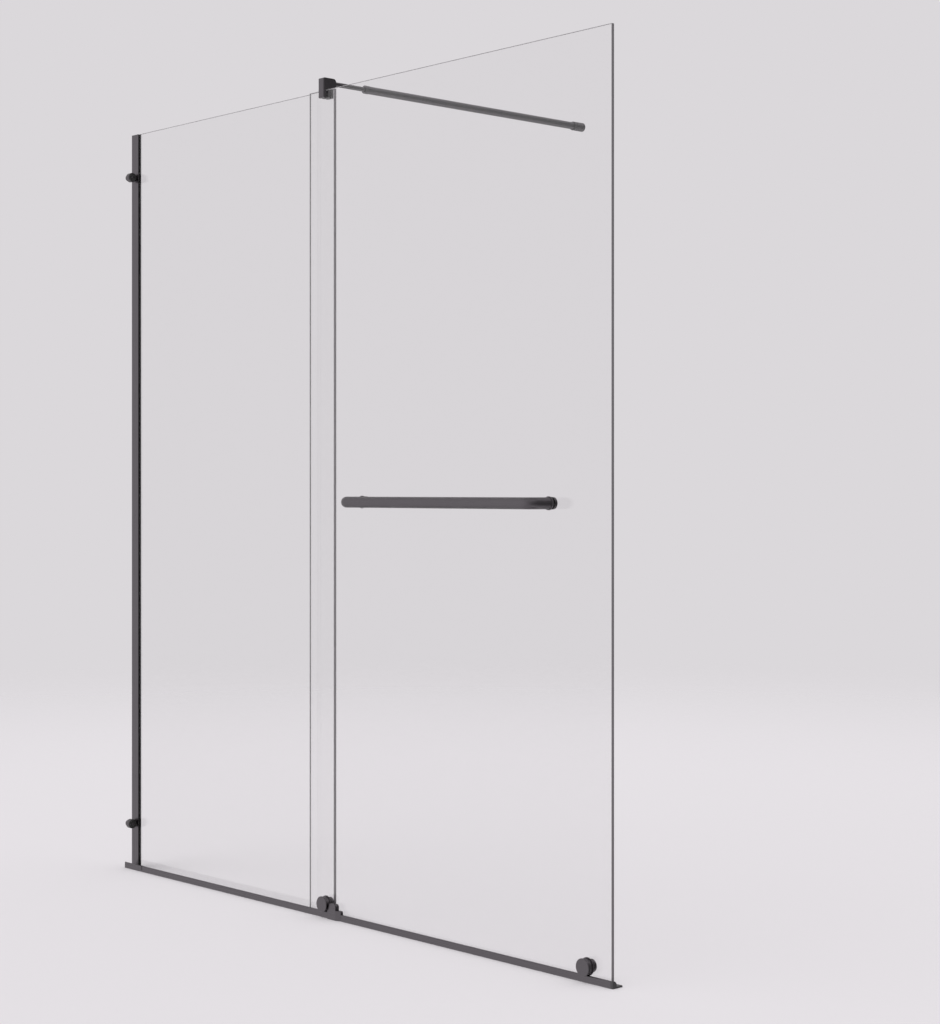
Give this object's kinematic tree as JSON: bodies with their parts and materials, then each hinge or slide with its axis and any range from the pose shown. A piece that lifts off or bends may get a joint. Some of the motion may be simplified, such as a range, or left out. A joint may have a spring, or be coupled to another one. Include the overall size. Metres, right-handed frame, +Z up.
{
  "type": "shower enclosure with sliding door",
  "caption": "Walk-in glass shower screen with a fixed panel, a sliding door on floor-rail rollers, a tubular handle, a top clamp and a stabiliser arm.",
  "frame": {"origin": "foot of the wall profile: on the wall face, on the fixed panel's mid-plane, at floor level", "axes": "+X along the glass, away from the wall; +Y through the glass, into the shower; +Z up"},
  "size_m": [1.78, 0.9455, 1.977],
  "materials": {
    "clear_glass": "polished, clear toughened glass",
    "graphite_metal": "brushed graphite, satin",
    "black_rubber": "matt",
    "clear_gasket": "translucent soft plastic",
    "grey_nylon": "moulded, slightly satin, in the metal's colour",
    "black_nylon": "moulded, slightly satin",
    "steel": "machined"
  },
  "bodies": {
    "root": {"wall_profile": "graphite_metal", "wall_profile_cap": "grey_nylon", "wall_gasket_front": "black_rubber", "wall_gasket_rear": "black_rubber", "fixed_panel": "clear_glass", "bottom_rail": "graphite_metal", "rail_end_cap_left": "grey_nylon", "rail_end_cap_right": "grey_nylon", "glazing_channel": "graphite_metal", "setting_pads": "clear_gasket", "track_stop": "graphite_metal", "guide_block": "graphite_metal", "guide_liner": "black_nylon", "guide_screw": "steel", "guide_bumper": "black_rubber", "clamp_body": "graphite_metal", "clamp_grub_screws": "steel", "arm_rod_lock_screw": "steel", "clamp_glass_liner": "grey_nylon", "clamp_guide_liner": "grey_nylon", "arm_rod": "graphite_metal", "arm_rod_slider": "black_nylon", "wall_stop_upper_bracket": "graphite_metal", "wall_stop_upper_buffer": "black_rubber", "wall_stop_lower_bracket": "graphite_metal", "wall_stop_lower_buffer": "black_rubber", "wall_stop_screws": "graphite_metal"},
    "door": {"sliding_door": "clear_glass", "handle_bar": "graphite_metal", "handle_rosette_left": "graphite_metal", "handle_rosette_right": "graphite_metal", "handle_rear_disc_left": "graphite_metal", "handle_rear_disc_right": "graphite_metal", "handle_inserts": "steel", "handle_studs": "steel", "handle_sleeves": "black_nylon", "handle_gaskets": "black_rubber", "roller_axle_left": "steel", "roller_axle_right": "steel", "roller_cap_left": "graphite_metal", "roller_cap_right": "graphite_metal", "bearing_inner_left": "steel", "bearing_inner_right": "steel", "roller_bush_left": "black_nylon", "roller_bush_right": "black_nylon", "roller_nut_left": "graphite_metal", "roller_nut_right": "graphite_metal", "roller_gaskets": "black_rubber"},
    "wheel_left": {"roller_wheel_left": "graphite_metal", "bearing_outer_left": "steel", "bearing_balls_left": "steel"},
    "wheel_right": {"roller_wheel_right": "graphite_metal", "bearing_outer_right": "steel", "bearing_balls_right": "steel"},
    "arm": {"arm_tube": "graphite_metal", "arm_tube_bush": "black_nylon", "arm_collar": "graphite_metal", "arm_lock_screw": "steel", "wall_socket": "graphite_metal", "wall_socket_ring": "graphite_metal"}
  },
  "joints": [
    {"name": "door_slide", "type": "slide", "parent": "root", "child": "door", "axis": [-1, 0, 0], "range_m": [0, 0.759]},
    {"name": "roller_left_spin", "type": "hinge", "parent": "door", "child": "wheel_left", "pos_m": [0.851, -0.0265, 0.0322], "axis": [0, -1, 0], "continuous": true},
    {"name": "roller_right_spin", "type": "hinge", "parent": "door", "child": "wheel_right", "pos_m": [1.704, -0.0265, 0.0322], "axis": [0, -1, 0], "continuous": true},
    {"name": "arm_telescope", "type": "slide", "parent": "root", "child": "arm", "axis": [0, 1, 0], "range_m": [-0.085, 0.22]}
  ],
  "couplings": [
    {"joint": "roller_left_spin", "follows": "door_slide", "rad_per_m": 60.976},
    {"joint": "roller_right_spin", "follows": "door_slide", "rad_per_m": 60.976}
  ]
}
